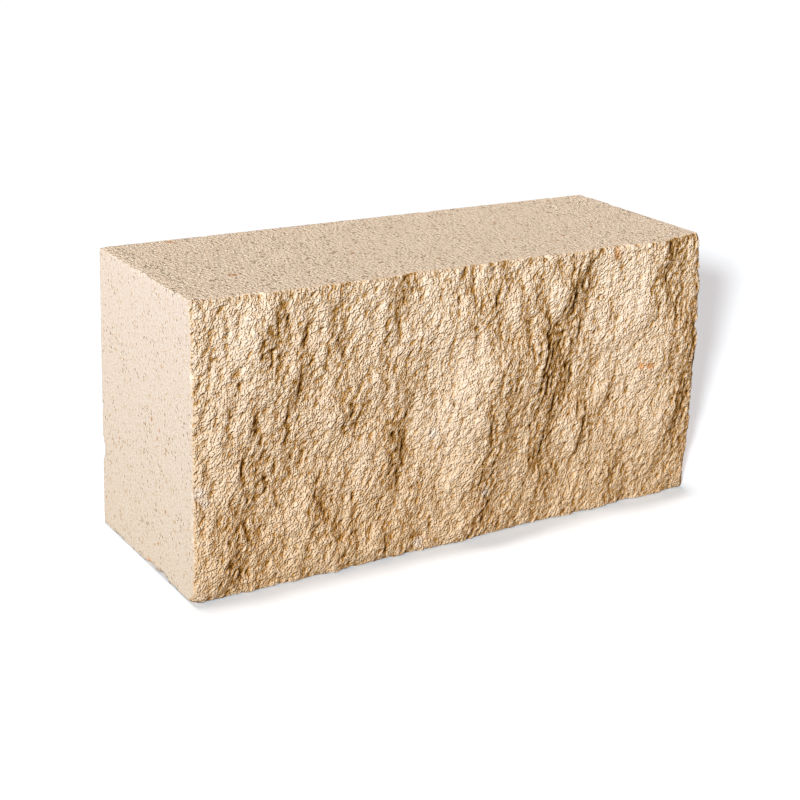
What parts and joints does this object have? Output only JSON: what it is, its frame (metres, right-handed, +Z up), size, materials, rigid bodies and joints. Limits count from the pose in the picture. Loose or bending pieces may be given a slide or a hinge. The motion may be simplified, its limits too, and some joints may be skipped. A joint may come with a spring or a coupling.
{
  "type": "split-face limestone block",
  "caption": "Rectangular limestone walling block, sawn flat on its beds, ends and back, with a rough split face on one long side and crumbled arrises round it.",
  "frame": {"origin": "on the lower bed, midway between the ends and midway between the sawn back and the split arrises", "axes": "+X along the block, +Y towards the sawn back so the split face looks along -Y, +Z up from the lower bed to the upper bed"},
  "size_m": [0.39, 0.1515, 0.19],
  "materials": {
    "limestone": "pale buff limestone, sawn matt on five sides and split on the sixth"
  },
  "bodies": {
    "root": {"limestone_block": "limestone"}
  },
  "joints": []
}
